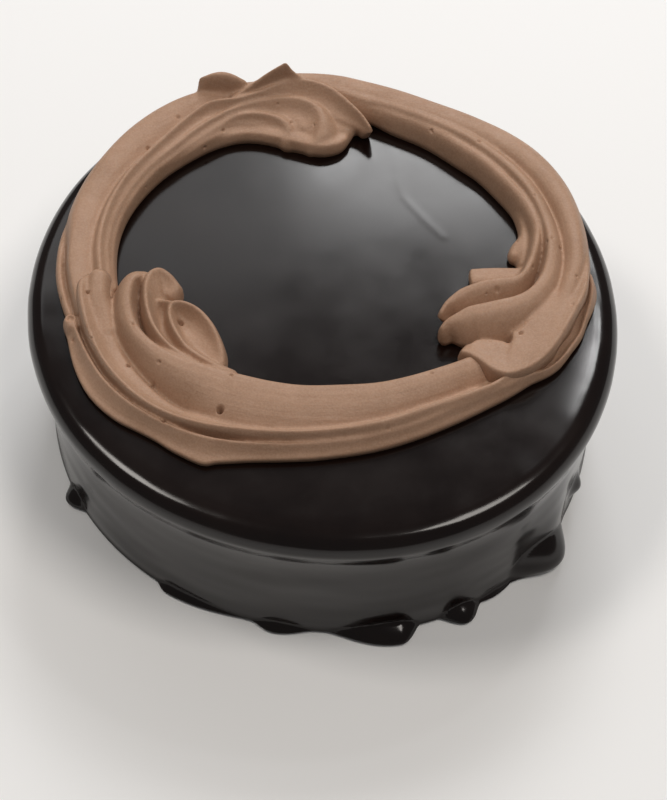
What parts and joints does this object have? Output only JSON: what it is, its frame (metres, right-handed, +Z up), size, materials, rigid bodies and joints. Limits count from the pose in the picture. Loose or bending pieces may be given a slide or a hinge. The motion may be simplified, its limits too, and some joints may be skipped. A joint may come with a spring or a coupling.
{
  "type": "round chocolate cake",
  "caption": "Round chocolate cake under a dark poured glaze, with whipped chocolate cream piped as a ring of overlapping scrolls on top.",
  "frame": {"origin": "middle of the flat underside that the cake rests on", "axes": "+Z up through the cake; -Y is the side seen first in the picture; +X to the right"},
  "size_m": [0.2011, 0.1984, 0.0824],
  "materials": {
    "chocolate_glaze": "dark chocolate glaze, set to a gloss",
    "chocolate_cream": "soft whipped chocolate cream, matt with a faint sheen"
  },
  "bodies": {
    "root": {"glazed_cake": "chocolate_glaze", "cream_scroll_front": "chocolate_cream", "cream_scroll_right": "chocolate_cream", "cream_scroll_back": "chocolate_cream"}
  },
  "joints": []
}
